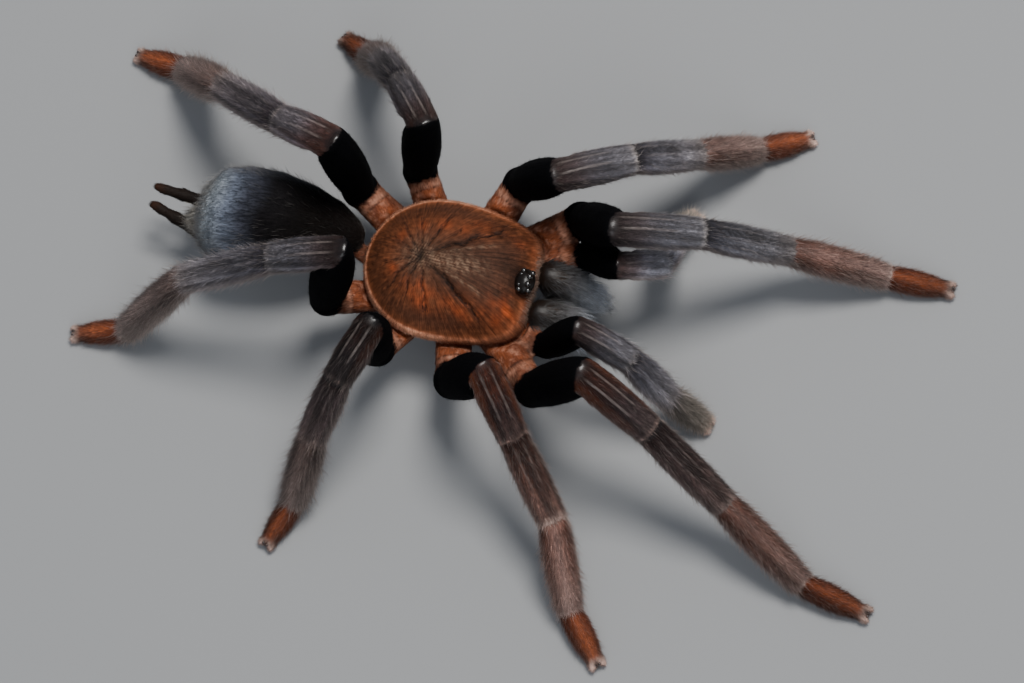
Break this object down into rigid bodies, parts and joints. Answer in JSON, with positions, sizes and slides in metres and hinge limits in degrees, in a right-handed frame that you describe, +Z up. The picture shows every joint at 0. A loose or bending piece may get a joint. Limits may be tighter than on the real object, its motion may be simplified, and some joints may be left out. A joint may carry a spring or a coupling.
{
  "type": "tarantula",
  "caption": "Life-size tarantula standing with spread legs: rust carapace, black femora, blue-grey hairy legs with orange feet, slate abdomen and long spinnerets.",
  "frame": {"origin": "floor level under the middle of the animal's bounding box", "axes": "+X the way the animal faces, +Y its left side, +Z up"},
  "size_m": [0.084, 0.059, 0.0217],
  "materials": {
    "carapace": "short rust-orange hair on a hard shield",
    "coxae": "orange hair with a peach fringe",
    "eyes": "glossy black",
    "abdomen": "black-brown to slate-blue velvet hair",
    "spinneret": "dark brown hair",
    "chelicera": "blue-grey combed hair over dark brown",
    "fang": "glossy dark horn",
    "femur": "black velvet",
    "patella": "brown to blue-grey hair with bare stripes",
    "tibia": "blue-grey to brown hair with bare stripes",
    "metatarsus": "rusty hair with long grey bristles",
    "tarsus": "rust-orange hair, grey foot pads"
  },
  "bodies": {
    "root": {"leg_left_1_femur": "femur", "leg_left_1_patella": "patella", "leg_left_1_tibia": "tibia", "leg_left_1_metatarsus": "metatarsus", "leg_left_1_tarsus": "tarsus", "leg_left_2_femur": "femur", "leg_left_2_patella": "patella", "leg_left_2_tibia": "tibia", "leg_left_2_metatarsus": "metatarsus", "leg_left_2_tarsus": "tarsus", "leg_left_3_femur": "femur", "leg_left_3_patella": "patella", "leg_left_3_tibia": "tibia", "leg_left_3_metatarsus": "metatarsus", "leg_left_3_tarsus": "tarsus", "leg_left_4_femur": "femur", "leg_left_4_patella": "patella", "leg_left_4_tibia": "tibia", "leg_left_4_metatarsus": "metatarsus", "leg_left_4_tarsus": "tarsus", "palp_left_femur": "femur", "palp_left_patella": "patella", "palp_left_tibia": "tibia", "palp_left_tarsus": "tarsus", "chelicera_left": "chelicera", "fang_left": "fang", "spinneret_left": "spinneret", "leg_right_1_femur": "femur", "leg_right_1_patella": "patella", "leg_right_1_tibia": "tibia", "leg_right_1_metatarsus": "metatarsus", "leg_right_1_tarsus": "tarsus", "leg_right_2_femur": "femur", "leg_right_2_patella": "patella", "leg_right_2_tibia": "tibia", "leg_right_2_metatarsus": "metatarsus", "leg_right_2_tarsus": "tarsus", "leg_right_3_femur": "femur", "leg_right_3_patella": "patella", "leg_right_3_tibia": "tibia", "leg_right_3_metatarsus": "metatarsus", "leg_right_3_tarsus": "tarsus", "leg_right_4_femur": "femur", "leg_right_4_patella": "patella", "leg_right_4_tibia": "tibia", "leg_right_4_metatarsus": "metatarsus", "leg_right_4_tarsus": "tarsus", "palp_right_femur": "femur", "palp_right_patella": "patella", "palp_right_tibia": "tibia", "palp_right_tarsus": "tarsus", "chelicera_right": "chelicera", "fang_right": "fang", "spinneret_right": "spinneret", "carapace": "carapace", "eye_mound": "eyes", "prosoma_base": "coxae", "abdomen": "abdomen"}
  },
  "joints": []
}
